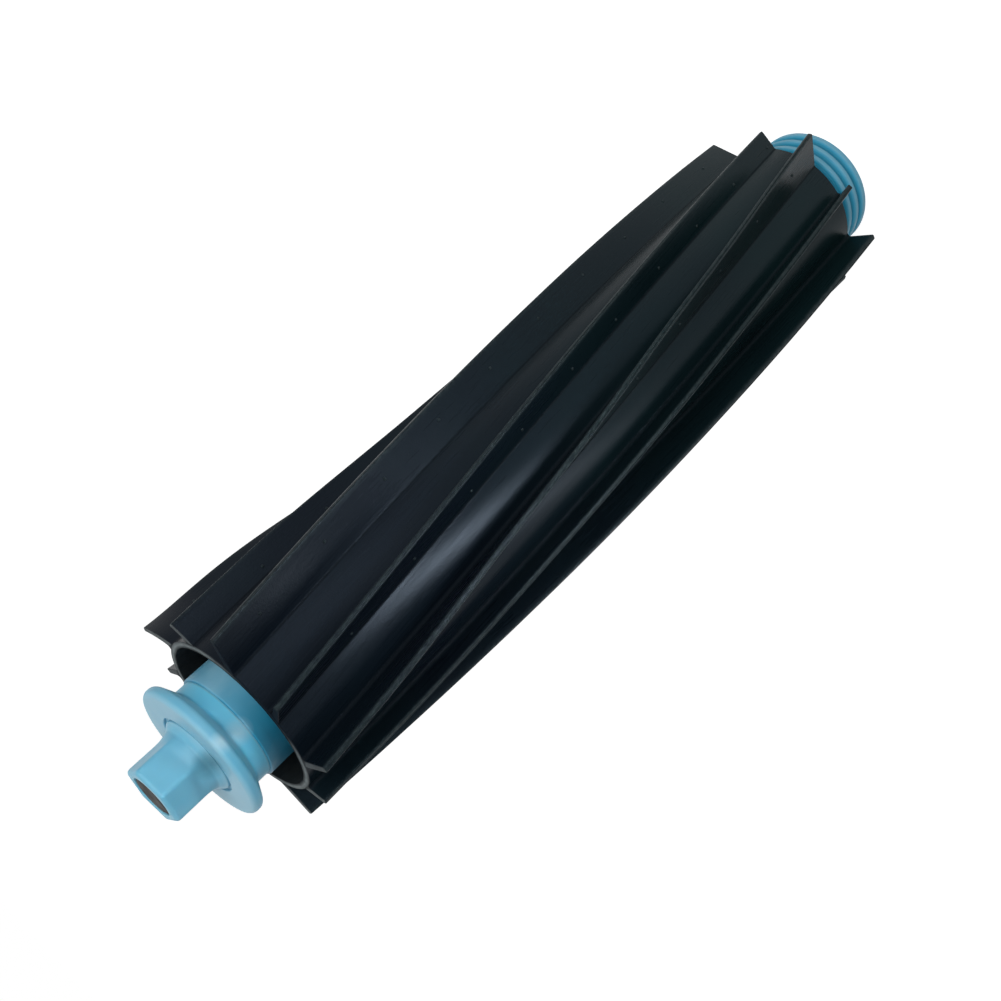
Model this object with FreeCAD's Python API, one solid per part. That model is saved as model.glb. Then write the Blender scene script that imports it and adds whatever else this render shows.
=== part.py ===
import FreeCAD, Part
import math
import os

# A roller brush of a robot vacuum, in millimetres. It stands on its idle end: the roller's axis is Z,
# the origin is the middle of the end cap's base and the drive shaft points up.

# Rubber sleeve and its blades
SLEEVE_LENGTH = 149.2
SLEEVE_BORE_R = 13.2
SLEEVE_WALL = 1.1
BLADE_PAIRS = 5
TALL_TIP_R = 20.0
SHORT_TIP_R = 17.85
BLADE_ROOT_T = 1.3
BLADE_TIP_T = 1.0
BLADE_LEAN = 29.0
BLADE_TWIST = 65.1
BLADE_ROOT_TURN = 25.5
ROOT_FILLET = 0.6
TIP_ROUND = 0.28

# Core that carries the sleeve, with a collar at the drive end
SLEEVE_FIT = 0.02
CORE_WALL = 2.0
CORE_INSET_DRIVE = 9.0
CORE_WEB = 3.0
CORE_EDGE = 0.6
COLLAR_R = 9.2
COLLAR_OUT = 2.3
COLLAR_EDGE = 0.15

# Drive plug: spigot, neck, flange and shaft
PLUG_FIT = 0.02
COLLAR_WALL = 2.2
SPIGOT_LENGTH = 9.0
SPIGOT_END_GAP = 0.5
NECK_R = 8.8
NECK_LENGTH = 2.4
FLARE_LENGTH = 1.15
FLANGE_R = 11.7
FLANGE_T = 2.2
FLANGE_ROUND = 0.85
SHAFT_FLARE = 1.0
GROOVE_WIDTH = 0.55
GROOVE_DEPTH = 0.5
SHAFT_R = 5.4
SHAFT_LENGTH = 8.45
SHAFT_ROUND = 0.7
SHAFT_FLATS = 6
SHAFT_ACROSS_FLATS = 9.4
SHAFT_FLAT_TURN = 23.0
SHAFT_ROUND_BASE = 1.7

# Steel pin set in the end of the shaft
DRIVE_PIN_R = 3.55
DRIVE_PIN_LENGTH = 12.0
DRIVE_PIN_SUNK = 0.15
DRIVE_PIN_EDGE = 0.3
PIN_FIT = 0.01
PIN_MOUTH = 0.12

# Axle pin at the idle end
AXLE_R = 3.0
AXLE_GRIP = 10.0
AXLE_EDGE = 0.4
AXLE_TAIL = 1.5

# Retaining clip in the pin's groove
CLIP_T = 0.6
CLIP_R = 5.2
CLIP_GROOVE_DEPTH = 0.5
CLIP_MOUTH = 3.6
CLIP_FIT = 0.02

# Bearing bush and the clearances of the turning joint
BUSH_WALL = 1.55
BUSH_LIP = 1.6
BUSH_FLANGE_T = 0.8
RUNNING_CLEARANCE = 0.05
END_PLAY = 0.1
BUSH_FIT = 0.01

# Thrust washer between the bush and the idle plug
WASHER_BAND = 2.8
WASHER_T = 0.9

# Idle plug in the core's lower end
IDLE_BOSS_R = 6.0
IDLE_BOSS_LENGTH = 1.2
IDLE_FLANGE_INSET = 0.4
IDLE_FLANGE_T = 2.0
IDLE_SPIGOT_LENGTH = 8.0

# End cap: ribbed outside, hub inside
CAP_LAND = 1.7
CAP_LAND_STEP = 0.4
CAP_INSERT = 4.0
CAP_CLEARANCE = 1.4
CAP_WALL = 1.6
CAP_RECESS_R = 8.4
CAP_RECESS_DEPTH = 4.0
CAP_WEB = 2.2
CAP_HUB_WALL = 2.2
CAP_EDGE = 0.5
RIB_COUNT = 3
RIB_R = 12.6
RIB_DEPTH = 0.8
RIB_PITCH = 2.65
RIB_CREST = 0.6
RIB_SHOULDER = 0.55

# Radii that follow from the ones above
SLEEVE_ROOT_R = SLEEVE_BORE_R + SLEEVE_WALL
CORE_R = SLEEVE_BORE_R - SLEEVE_FIT
CORE_BORE_R = CORE_R - CORE_WALL
SPIGOT_R = COLLAR_R - COLLAR_WALL - PLUG_FIT
IDLE_FLANGE_R = CORE_R - IDLE_FLANGE_INSET
AXLE_HOLE_R = AXLE_R + PIN_FIT
CLIP_BORE_R = AXLE_R - CLIP_GROOVE_DEPTH
BUSH_BORE_R = AXLE_R + RUNNING_CLEARANCE
BUSH_R = BUSH_BORE_R + BUSH_WALL
BUSH_FLANGE_R = BUSH_R + BUSH_LIP
WASHER_R = AXLE_HOLE_R + WASHER_BAND
CAP_BORE_R = BUSH_R + BUSH_FIT
CAP_HUB_R = CAP_BORE_R + CAP_HUB_WALL
CAP_INSERT_R = SLEEVE_BORE_R - CAP_CLEARANCE
RIB_FLOOR_R = RIB_R - RIB_DEPTH
CAP_LAND_R = RIB_R - CAP_LAND_STEP

# Heights that the pieces share
FIRST_RIB = RIB_CREST / 2 + RIB_SHOULDER
RIBS_TOP = FIRST_RIB + (RIB_COUNT - 1) * RIB_PITCH + RIB_CREST / 2 + 2 * RIB_SHOULDER
CAP_OUT = RIBS_TOP + RIB_SHOULDER + CAP_LAND + CAP_EDGE
SLEEVE_BOTTOM = CAP_OUT
SLEEVE_TOP = SLEEVE_BOTTOM + SLEEVE_LENGTH
HUB_TOP = CAP_OUT + CAP_INSERT
BUSH_TOP = HUB_TOP + BUSH_FLANGE_T
WASHER_BOTTOM = BUSH_TOP + END_PLAY
BOSS_BOTTOM = WASHER_BOTTOM + WASHER_T
IDLE_FLANGE_BOTTOM = BOSS_BOTTOM + IDLE_BOSS_LENGTH
CORE_BOTTOM = IDLE_FLANGE_BOTTOM + IDLE_FLANGE_T
CORE_SHOULDER = SLEEVE_TOP - CORE_INSET_DRIVE
COLLAR_TOP = SLEEVE_TOP + COLLAR_OUT
FLANGE_BACK = COLLAR_TOP + NECK_LENGTH + FLARE_LENGTH
FLANGE_FACE = FLANGE_BACK + FLANGE_T
SHAFT_TOP = FLANGE_FACE + SHAFT_LENGTH
CLIP_TOP = CAP_RECESS_DEPTH - END_PLAY
CLIP_BOTTOM = CLIP_TOP - CLIP_T
AXLE_BOTTOM = CLIP_BOTTOM - AXLE_TAIL
AXLE_TOP = BOSS_BOTTOM + AXLE_GRIP

# Share of a corner's radius between the corner and the middle of its arc
ARC_SAG = 1.0 - math.sqrt(0.5)


def turned(start, *steps):
    """Solid of revolution about Z.

    start and steps are (radius, height) points; a step of four numbers is an arc
    through its first point to its second.
    """
    edges = []
    here = start
    for step in steps + (start,):
        there = step[-2:]
        a = FreeCAD.Vector(here[0], 0, here[1])
        b = FreeCAD.Vector(there[0], 0, there[1])
        if len(step) == 4:
            edges.append(Part.Arc(a, FreeCAD.Vector(step[0], 0, step[1]), b).toShape())
        else:
            edges.append(Part.makeLine(a, b))
        here = there
    face = Part.Face(Part.Wire(edges))
    return face.revolve(FreeCAD.Vector(0, 0, 0), FreeCAD.Vector(0, 0, 1), 360)


def corner_up(r, z, q, outward=1, upward=1):
    """Rounded corner of a turned outline, entered along the wall and left along the face."""
    middle = (r - outward * ARC_SAG * q, z - upward * ARC_SAG * q)
    return (r, z - upward * q), middle + (r - outward * q, z)


def corner_in(r, z, q, outward=1, upward=1):
    """Rounded corner of a turned outline, entered along the face and left along the wall."""
    middle = (r - outward * ARC_SAG * q, z - upward * ARC_SAG * q)
    return (r - outward * q, z), middle + (r, z - upward * q)


def blade_points(turn, tip_r):
    """Points of one blade in the sleeve's cross-section, from its leading root to its trailing root.

    The blade is straight, leans from the radius by BLADE_LEAN, tapers to its tip and joins the
    sleeve with a fillet on each side. Each row is an edge: its points, two for a line and three
    for an arc.
    """
    root_r = SLEEVE_ROOT_R
    along = FreeCAD.Vector(math.cos(turn), math.sin(turn), 0)
    across = FreeCAD.Vector(-along.y, along.x, 0)
    lean = math.radians(BLADE_LEAN)
    out = along * math.cos(lean) + across * math.sin(lean)
    side = FreeCAD.Vector(-out.y, out.x, 0)
    root = along * root_r
    half = root_r * math.cos(lean)
    reach = math.sqrt(half * half + tip_r * tip_r - root_r * root_r) - half
    tip = root + out * reach

    rows = []
    for sign in (-1, 1):
        foot = root + side * (sign * BLADE_ROOT_T / 2)
        end = tip + side * (sign * BLADE_TIP_T / 2)
        run = (end - foot).normalize()
        away = FreeCAD.Vector(-run.y, run.x, 0) * sign
        base = foot + away * ROOT_FILLET
        b = base.dot(run)
        c = base.dot(base) - (root_r + ROOT_FILLET) ** 2
        centre = base + run * (math.sqrt(b * b - c) - b)
        on_root = centre * (root_r / (root_r + ROOT_FILLET))
        on_flank = centre - away * ROOT_FILLET
        fillet_middle = centre + ((on_root - centre) + (on_flank - centre)).normalize() * ROOT_FILLET
        flank_end = end - run * TIP_ROUND
        flat_end = end - side * (sign * TIP_ROUND)
        round_middle = end + (flank_end - end + flat_end - end) * ARC_SAG
        rows.append([(on_root, fillet_middle, on_flank), (on_flank, flank_end),
                     (flank_end, round_middle, flat_end)])
    leading = rows[0]
    trailing = [tuple(reversed(edge)) for edge in reversed(rows[1])]
    return leading + [(leading[-1][-1], trailing[0][0])] + trailing


def sleeve_outline(height):
    """Closed outline of the sleeve's outside at one height: root arcs and alternating blades."""
    count = 2 * BLADE_PAIRS
    start = BLADE_ROOT_TURN + BLADE_TWIST
    blades = []
    for i in range(count):
        tip_r = TALL_TIP_R if i % 2 == 0 else SHORT_TIP_R
        blades.append(blade_points(math.radians(start + i * 360.0 / count), tip_r))
    edges = []
    for i, rows in enumerate(blades):
        for row in rows:
            edges.append(Part.makeLine(*row) if len(row) == 2 else Part.Arc(*row).toShape())
        a = rows[-1][-1]
        b = blades[(i + 1) % count][0][0]
        middle = (a + b).normalize() * SLEEVE_ROOT_R
        edges.append(Part.Arc(a, middle, b).toShape())
    wire = Part.Wire(edges)
    wire.translate(FreeCAD.Vector(0, 0, height))
    return wire


def rubber_sleeve():
    """Sleeve moulded in one with its helical blades; the twist is left-handed."""
    axis = Part.Wire(Part.makeLine(FreeCAD.Vector(0, 0, SLEEVE_BOTTOM), FreeCAD.Vector(0, 0, SLEEVE_TOP)))
    pitch = SLEEVE_LENGTH * 360.0 / BLADE_TWIST
    guide = Part.makeHelix(pitch, SLEEVE_LENGTH, TALL_TIP_R, 0, True)
    guide.translate(FreeCAD.Vector(0, 0, SLEEVE_BOTTOM))
    sweep = Part.BRepOffsetAPI.MakePipeShell(axis)
    sweep.setAuxiliarySpine(Part.Wire(guide.Edges), True, 0)
    sweep.add(sleeve_outline(SLEEVE_BOTTOM))
    sweep.build()
    sweep.makeSolid()
    bore = Part.makeCylinder(SLEEVE_BORE_R, SLEEVE_LENGTH + 2, FreeCAD.Vector(0, 0, SLEEVE_BOTTOM - 1))
    return sweep.shape().cut(bore)


def core_tube():
    """Tube inside the sleeve, closed by a web and a collar that comes out of the sleeve's drive end."""
    socket_r = SPIGOT_R + PLUG_FIT
    socket_floor = COLLAR_TOP - SPIGOT_LENGTH - SPIGOT_END_GAP
    return turned(
        (CORE_BORE_R, CORE_BOTTOM),
        (CORE_R, CORE_BOTTOM),
        *corner_up(CORE_R, CORE_SHOULDER, CORE_EDGE),
        (COLLAR_R, CORE_SHOULDER),
        *corner_up(COLLAR_R, COLLAR_TOP, COLLAR_EDGE),
        (socket_r, COLLAR_TOP),
        (socket_r, socket_floor),
        (0, socket_floor),
        (0, CORE_SHOULDER - CORE_WEB),
        (CORE_BORE_R, CORE_SHOULDER - CORE_WEB),
    )


def drive_plug():
    """Plug in the collar: neck, flange with a groove round the shaft, and a shaft with flats."""
    groove_in = SHAFT_R + SHAFT_FLARE
    groove_out = groove_in + GROOVE_WIDTH
    body = turned(
        (0, COLLAR_TOP - SPIGOT_LENGTH),
        (SPIGOT_R, COLLAR_TOP - SPIGOT_LENGTH),
        (SPIGOT_R, COLLAR_TOP),
        (NECK_R, COLLAR_TOP),
        (NECK_R, COLLAR_TOP + NECK_LENGTH),
        *corner_in(FLANGE_R, FLANGE_BACK, FLANGE_ROUND, upward=-1),
        *corner_up(FLANGE_R, FLANGE_FACE, FLANGE_ROUND),
        (groove_out, FLANGE_FACE),
        (groove_out, FLANGE_FACE - GROOVE_DEPTH),
        (groove_in, FLANGE_FACE - GROOVE_DEPTH),
        (groove_in, FLANGE_FACE),
        (SHAFT_R, FLANGE_FACE + SHAFT_FLARE),
        *corner_up(SHAFT_R, SHAFT_TOP, SHAFT_ROUND),
        (0, SHAFT_TOP),
    )
    flat_start = FLANGE_FACE + SHAFT_ROUND_BASE
    flat_height = SHAFT_TOP - flat_start + 1
    corner_r = SHAFT_ACROSS_FLATS / 2 / math.cos(math.pi / SHAFT_FLATS)
    points = []
    for i in range(SHAFT_FLATS + 1):
        turn = math.radians(SHAFT_FLAT_TURN) + (i + 0.5) * 2 * math.pi / SHAFT_FLATS
        points.append(FreeCAD.Vector(corner_r * math.cos(turn), corner_r * math.sin(turn), flat_start))
    prism = Part.Face(Part.makePolygon(points)).extrude(FreeCAD.Vector(0, 0, flat_height))
    ring = Part.makeCylinder(SHAFT_R + 1, flat_height, FreeCAD.Vector(0, 0, flat_start))
    hole_r = DRIVE_PIN_R + PIN_FIT
    hole_floor = SHAFT_TOP - DRIVE_PIN_SUNK - DRIVE_PIN_LENGTH
    hole = turned(
        (0, hole_floor),
        (hole_r, hole_floor),
        (hole_r, SHAFT_TOP - PIN_MOUTH),
        (hole_r + PIN_MOUTH, SHAFT_TOP),
        (hole_r + PIN_MOUTH, SHAFT_TOP + 1),
        (0, SHAFT_TOP + 1),
    )
    return body.cut(ring.cut(prism)).cut(hole)


def drive_pin():
    """Steel pin sunk in the end of the drive shaft."""
    top = SHAFT_TOP - DRIVE_PIN_SUNK
    return turned(
        (0, top - DRIVE_PIN_LENGTH),
        (DRIVE_PIN_R, top - DRIVE_PIN_LENGTH),
        *corner_up(DRIVE_PIN_R, top, DRIVE_PIN_EDGE),
        (0, top),
    )


def idle_plug():
    """Flanged plug in the core's lower end, bored for the axle pin."""
    spigot_r = CORE_BORE_R - PLUG_FIT
    return turned(
        (AXLE_HOLE_R, BOSS_BOTTOM),
        (IDLE_BOSS_R, BOSS_BOTTOM),
        (IDLE_BOSS_R, IDLE_FLANGE_BOTTOM),
        (IDLE_FLANGE_R, IDLE_FLANGE_BOTTOM),
        (IDLE_FLANGE_R, CORE_BOTTOM),
        (spigot_r, CORE_BOTTOM),
        (spigot_r, CORE_BOTTOM + IDLE_SPIGOT_LENGTH),
        (AXLE_HOLE_R, CORE_BOTTOM + IDLE_SPIGOT_LENGTH),
    )


def axle_pin():
    """Steel pin fixed in the idle plug; the end cap turns on it and the clip holds the cap on."""
    groove_r = CLIP_BORE_R - CLIP_FIT
    return turned(
        (0, AXLE_BOTTOM),
        *corner_in(AXLE_R, AXLE_BOTTOM, AXLE_EDGE, upward=-1),
        (AXLE_R, CLIP_BOTTOM - CLIP_FIT),
        (groove_r, CLIP_BOTTOM - CLIP_FIT),
        (groove_r, CLIP_TOP + CLIP_FIT),
        (AXLE_R, CLIP_TOP + CLIP_FIT),
        *corner_up(AXLE_R, AXLE_TOP, AXLE_EDGE),
        (0, AXLE_TOP),
    )


def retaining_clip():
    """Open spring ring in the axle pin's groove."""
    ring = turned(
        (CLIP_BORE_R, CLIP_BOTTOM),
        (CLIP_R, CLIP_BOTTOM),
        (CLIP_R, CLIP_TOP),
        (CLIP_BORE_R, CLIP_TOP),
    )
    mouth = Part.makeBox(CLIP_R + 1, CLIP_MOUTH, CLIP_T + 1,
                         FreeCAD.Vector(0, -CLIP_MOUTH / 2, CLIP_BOTTOM - 0.5))
    return ring.cut(mouth)


def thrust_washer():
    """Washer on the axle pin that takes the end load between the bush and the idle plug."""
    return turned(
        (AXLE_HOLE_R, WASHER_BOTTOM),
        (WASHER_R, WASHER_BOTTOM),
        (WASHER_R, WASHER_BOTTOM + WASHER_T),
        (AXLE_HOLE_R, WASHER_BOTTOM + WASHER_T),
    )


def bearing_bush():
    """Flanged bush pressed into the end cap, running on the axle pin."""
    return turned(
        (BUSH_BORE_R, CAP_RECESS_DEPTH),
        (BUSH_R, CAP_RECESS_DEPTH),
        (BUSH_R, HUB_TOP),
        (BUSH_FLANGE_R, HUB_TOP),
        (BUSH_FLANGE_R, BUSH_TOP),
        (BUSH_BORE_R, BUSH_TOP),
    )


def end_cap():
    """Ribbed cap at the idle end: a flat base ring, a recess under the hub and a wall inside the sleeve."""
    web_top = CAP_RECESS_DEPTH + CAP_WEB
    pocket_r = CAP_INSERT_R - CAP_WALL
    outside = [*corner_in(RIB_R, 0, RIB_SHOULDER, upward=-1)]
    for i in range(RIB_COUNT):
        crest = FIRST_RIB + i * RIB_PITCH
        low = crest - RIB_CREST / 2
        high = crest + RIB_CREST / 2
        sag_r = RIB_R - ARC_SAG * (RIB_R - RIB_FLOOR_R)
        sag_z = RIB_SHOULDER * math.sqrt(0.5)
        if i > 0:
            outside.append((RIB_FLOOR_R, low - RIB_SHOULDER))
            outside.append((sag_r, low - sag_z, RIB_R, low))
        outside.append((RIB_R, high))
        outside.append((sag_r, high + sag_z, RIB_FLOOR_R, high + RIB_SHOULDER))
    outside.append((RIB_FLOOR_R, RIBS_TOP))
    outside.append((CAP_LAND_R, RIBS_TOP + RIB_SHOULDER))
    return turned(
        (CAP_RECESS_R, 0),
        *outside,
        (CAP_LAND_R, CAP_OUT - CAP_EDGE),
        (CAP_INSERT_R, CAP_OUT - CAP_EDGE),
        (CAP_INSERT_R, HUB_TOP),
        (pocket_r, HUB_TOP),
        (pocket_r, web_top),
        (CAP_HUB_R, web_top),
        (CAP_HUB_R, HUB_TOP),
        (CAP_BORE_R, HUB_TOP),
        (CAP_BORE_R, CAP_RECESS_DEPTH),
        (CAP_RECESS_R, CAP_RECESS_DEPTH),
    )


PIECES = {
    "rubber_sleeve": rubber_sleeve,
    "core_tube": core_tube,
    "drive_plug": drive_plug,
    "drive_pin": drive_pin,
    "idle_plug": idle_plug,
    "axle_pin": axle_pin,
    "thrust_washer": thrust_washer,
    "bearing_bush": bearing_bush,
    "retaining_clip": retaining_clip,
    "end_cap": end_cap,
}

os.makedirs("parts", exist_ok=True)
for name, make in PIECES.items():
    make().exportStep("parts/" + name + ".step")
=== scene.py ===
import math

import bpy
import numpy as np
from bpy.props import FloatProperty, FloatVectorProperty, IntProperty, PointerProperty
from bpy.types import Operator, Panel, PropertyGroup
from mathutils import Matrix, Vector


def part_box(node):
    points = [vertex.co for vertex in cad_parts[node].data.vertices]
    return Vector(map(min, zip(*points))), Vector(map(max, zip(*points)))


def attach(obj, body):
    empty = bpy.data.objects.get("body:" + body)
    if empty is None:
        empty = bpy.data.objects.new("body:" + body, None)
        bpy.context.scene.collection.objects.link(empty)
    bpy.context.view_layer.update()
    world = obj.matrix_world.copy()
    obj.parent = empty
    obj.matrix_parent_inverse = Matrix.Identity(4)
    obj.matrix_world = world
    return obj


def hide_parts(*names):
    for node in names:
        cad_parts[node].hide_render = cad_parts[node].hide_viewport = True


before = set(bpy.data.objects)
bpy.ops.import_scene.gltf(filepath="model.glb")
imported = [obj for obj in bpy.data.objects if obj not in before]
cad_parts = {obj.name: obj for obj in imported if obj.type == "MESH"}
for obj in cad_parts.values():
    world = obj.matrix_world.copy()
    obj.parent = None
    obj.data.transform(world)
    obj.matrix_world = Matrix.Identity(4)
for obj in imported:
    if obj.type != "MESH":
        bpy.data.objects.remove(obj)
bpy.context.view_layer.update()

bl_info = {
    "name": "Roller Brush",
    "version": (1, 0, 0),
    "blender": (4, 5, 0),
    "location": "3D View > Sidebar > Roller",
    "description": "Roller brush of a robot vacuum: helical rubber blades, drive plug and ribbed cap",
    "category": "Add Mesh",
}

# The object stands on its end cap: the roller's axis is Z and lengths are metres. A radius below ON_AXIS
# is on the axis.
MM = 0.001
ON_AXIS = 1e-9
SLEEVE_LOW, SLEEVE_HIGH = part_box("rubber_sleeve")
CORE_LOW, CORE_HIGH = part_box("core_tube")
PLUG_LOW, PLUG_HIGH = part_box("drive_plug")
PIN_LOW, PIN_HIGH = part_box("drive_pin")
IDLE_LOW, IDLE_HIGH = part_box("idle_plug")
AXLE_LOW, AXLE_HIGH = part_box("axle_pin")
WASHER_LOW, WASHER_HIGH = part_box("thrust_washer")
BUSH_LOW, BUSH_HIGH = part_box("bearing_bush")
CLIP_LOW, CLIP_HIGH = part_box("retaining_clip")
CAP_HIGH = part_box("end_cap")[1]


def length(name, description, millimetres):
    """A length, written in millimetres and kept in metres."""
    return FloatProperty(name=name, description=description, default=millimetres * MM,
                         subtype="DISTANCE", precision=5)


def turn(name, description, degrees):
    """An angle, written in degrees and kept in radians."""
    return FloatProperty(name=name, description=description, default=math.radians(degrees),
                         subtype="ANGLE")


def share(name, description, default):
    """A plain number that has no unit."""
    return FloatProperty(name=name, description=description, default=default, precision=3)


def colour(name, description, default):
    """A colour in linear red, green and blue."""
    return FloatVectorProperty(name=name, description=description, default=default, size=3,
                               subtype="COLOR", min=0.0, max=1.0)


class SleeveSizes(PropertyGroup):
    """Sizes of the rubber sleeve and its blades."""

    bore_r: length("Bore radius", "Radius of the sleeve's bore", 13.2)
    wall: length("Wall", "Thickness of the sleeve between the blades", 1.1)
    pairs: IntProperty(name="Blade pairs", description="Number of tall and short pairs", default=5)
    tall_r: length("Tall tip radius", "Circle that the tall blades sweep", 20.0)
    short_r: length("Short tip radius", "Circle that the short blades sweep", 17.85)
    root_t: length("Root thickness", "Thickness of a blade at the sleeve", 1.3)
    tip_t: length("Tip thickness", "Thickness of a blade at its tip", 1.0)
    lean: turn("Lean", "Lean of a blade from the radius", 29.0)
    twist: turn("Twist", "Turn of a blade from end to end", 65.1)
    start: turn("Start", "Turn of the first blade's root at the drive end", 25.5)
    fillet: length("Root fillet", "Radius between a blade and the sleeve", 0.6)
    tip_round: length("Tip rounding", "Radius of a tip's corners", 0.28)
    notch: length("Tip notch", "Depth of the parting line in a tip", 0.2)
    cut_edge: length("Cut edge", "Bevel where the sleeve was cut to length", 0.1)
    wave: length("Wave", "Sideways wander of the tips", 0.12)
    nub_r: length("Nub radius", "Radius of the moulding nubs", 0.3)
    nub_height: length("Nub height", "Height of the moulding nubs", 0.2)
    nub_tall_r: length("Nubs, tall blades", "Distance of these nubs from the axis", 17.6)
    nub_short_r: length("Nubs, short blades", "Distance of these nubs from the axis", 15.5)
    nub_tall_first: length("First nub, tall", "Distance of the first nub from the drive end", 7.75)
    nub_short_first: length("First nub, short", "Distance of the first nub from the drive end", 15.75)
    nub_pitch: length("Nub pitch", "Spacing of the nubs along a blade", 14.65)


class DriveSizes(PropertyGroup):
    """Sizes of the core and of the plug at the drive end."""

    core_wall: length("Core wall", "Thickness of the core tube", 2.0)
    core_web: length("Core web", "Thickness of the wall behind the collar", 3.0)
    core_inset: length("Core inset", "Depth of the core's shoulder in the sleeve", 9.0)
    collar_r: length("Collar radius", "Radius of the collar that comes out of the sleeve", 9.2)
    collar_wall: length("Collar wall", "Thickness of the collar", 2.2)
    socket_gap: length("Socket gap", "Space under the plug's spigot", 0.5)
    spigot_r: length("Spigot radius", "Radius of the plug's spigot", 6.98)
    spigot: length("Spigot length", "Length of the plug's spigot", 9.0)
    neck_r: length("Neck radius", "Radius of the neck", 8.8)
    neck: length("Neck length", "Length of the neck up to its flare", 2.4)
    flare: length("Flare length", "Length of the flare below the flange", 1.15)
    flange_r: length("Flange radius", "Radius of the flange", 11.7)
    flange_t: length("Flange thickness", "Thickness of the flange", 2.2)
    flange_round: length("Flange rounding", "Radius of the flange's corners", 0.85)
    groove_w: length("Groove width", "Width of the groove round the shaft", 0.55)
    groove_d: length("Groove depth", "Depth of the groove round the shaft", 0.5)
    shaft_r: length("Shaft radius", "Radius of the shaft over its corners", 5.4)
    shaft_flare: length("Shaft flare", "Flare at the foot of the shaft", 1.0)
    foot_round: length("Foot rounding", "Radius at the foot of the shaft", 0.7)
    shaft_round: length("Shaft rounding", "Radius of the shaft's end", 0.7)
    flats_r: length("Flat distance", "Distance of a flat from the axis", 4.7)
    flats: IntProperty(name="Flats", description="Number of flats on the shaft", default=6)
    flats_turn: turn("Flat turn", "Turn of the first flat", 23.0)
    flats_soft: share("Corner softness", "Power of the flats' blend: lower is rounder", 30.0)
    flats_fade: length("Flat fade", "Length over which the flats come out of the flare", 2.2)
    hole_r: length("Hole radius", "Radius of the hole in the shaft", 3.56)
    mouth: length("Hole mouth", "Bevel at the mouth of the hole", 0.12)
    pin_edge: length("Pin edge", "Rounding of the pin's end", 0.5)


class IdleSizes(PropertyGroup):
    """Sizes of the end cap and of what it turns on."""

    rib_r: length("Rib radius", "Radius over the cap's ribs", 12.6)
    rib_depth: length("Rib depth", "Depth between the ribs", 0.8)
    rib_pitch: length("Rib pitch", "Spacing of the ribs", 2.65)
    rib_crest: length("Rib crest", "Width of a rib's crest", 0.9)
    rib_foot: length("Rib foot", "Width of a rib at its foot", 1.7)
    rib_round: length("Rib rounding", "Radius of a rib's crest", 0.42)
    rib_first: length("First rib", "Height of the first rib's middle", 0.85)
    ribs: IntProperty(name="Ribs", description="Number of ribs", default=3)
    base_round: length("Base rounding", "Radius at the edge of the base", 0.5)
    land_r: length("Land radius", "Radius of the land above the ribs", 12.2)
    land_low: length("Land foot", "Height at which the land starts", 8.1)
    land_slope: length("Land slope", "Height of the slope up to the land", 0.55)
    land_high: length("Land top", "Height at which the land ends", 9.8)
    insert_r: length("Insert radius", "Radius of the cap inside the sleeve", 11.8)
    wall: length("Cap wall", "Thickness of the cap's wall", 1.6)
    recess_r: length("Recess radius", "Radius of the recess in the base", 8.4)
    recess: length("Recess depth", "Depth of the recess in the base", 4.0)
    web: length("Web", "Thickness of the wall over the recess", 2.2)
    hub_r: length("Hub radius", "Radius of the hub round the bush", 6.81)
    bore_r: length("Hub bore", "Radius of the hub's bore", 4.61)
    bush_r: length("Bush radius", "Outside radius of the bush", 4.6)
    bush_bore_r: length("Bush bore", "Radius of the bush's bore", 3.05)
    bush_flange: length("Bush flange", "Thickness of the bush's flange", 0.8)
    washer_bore_r: length("Washer bore", "Radius of the washer's and the plug's bore", 3.01)
    boss_r: length("Boss radius", "Radius of the boss on the idle plug", 6.0)
    boss: length("Boss height", "Height of the boss on the idle plug", 1.2)
    flange: length("Plug flange", "Thickness of the idle plug's flange", 2.0)
    spigot_r: length("Plug spigot", "Radius of the idle plug's spigot", 11.16)
    groove_r: length("Axle groove", "Radius of the groove for the clip", 2.48)
    clip_bore_r: length("Clip bore", "Inside radius of the clip", 2.5)
    clip_mouth: length("Clip mouth", "Opening of the clip", 3.6)
    clip_gap: length("Clip gap", "Room for the clip on each side in its groove", 0.02)


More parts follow.
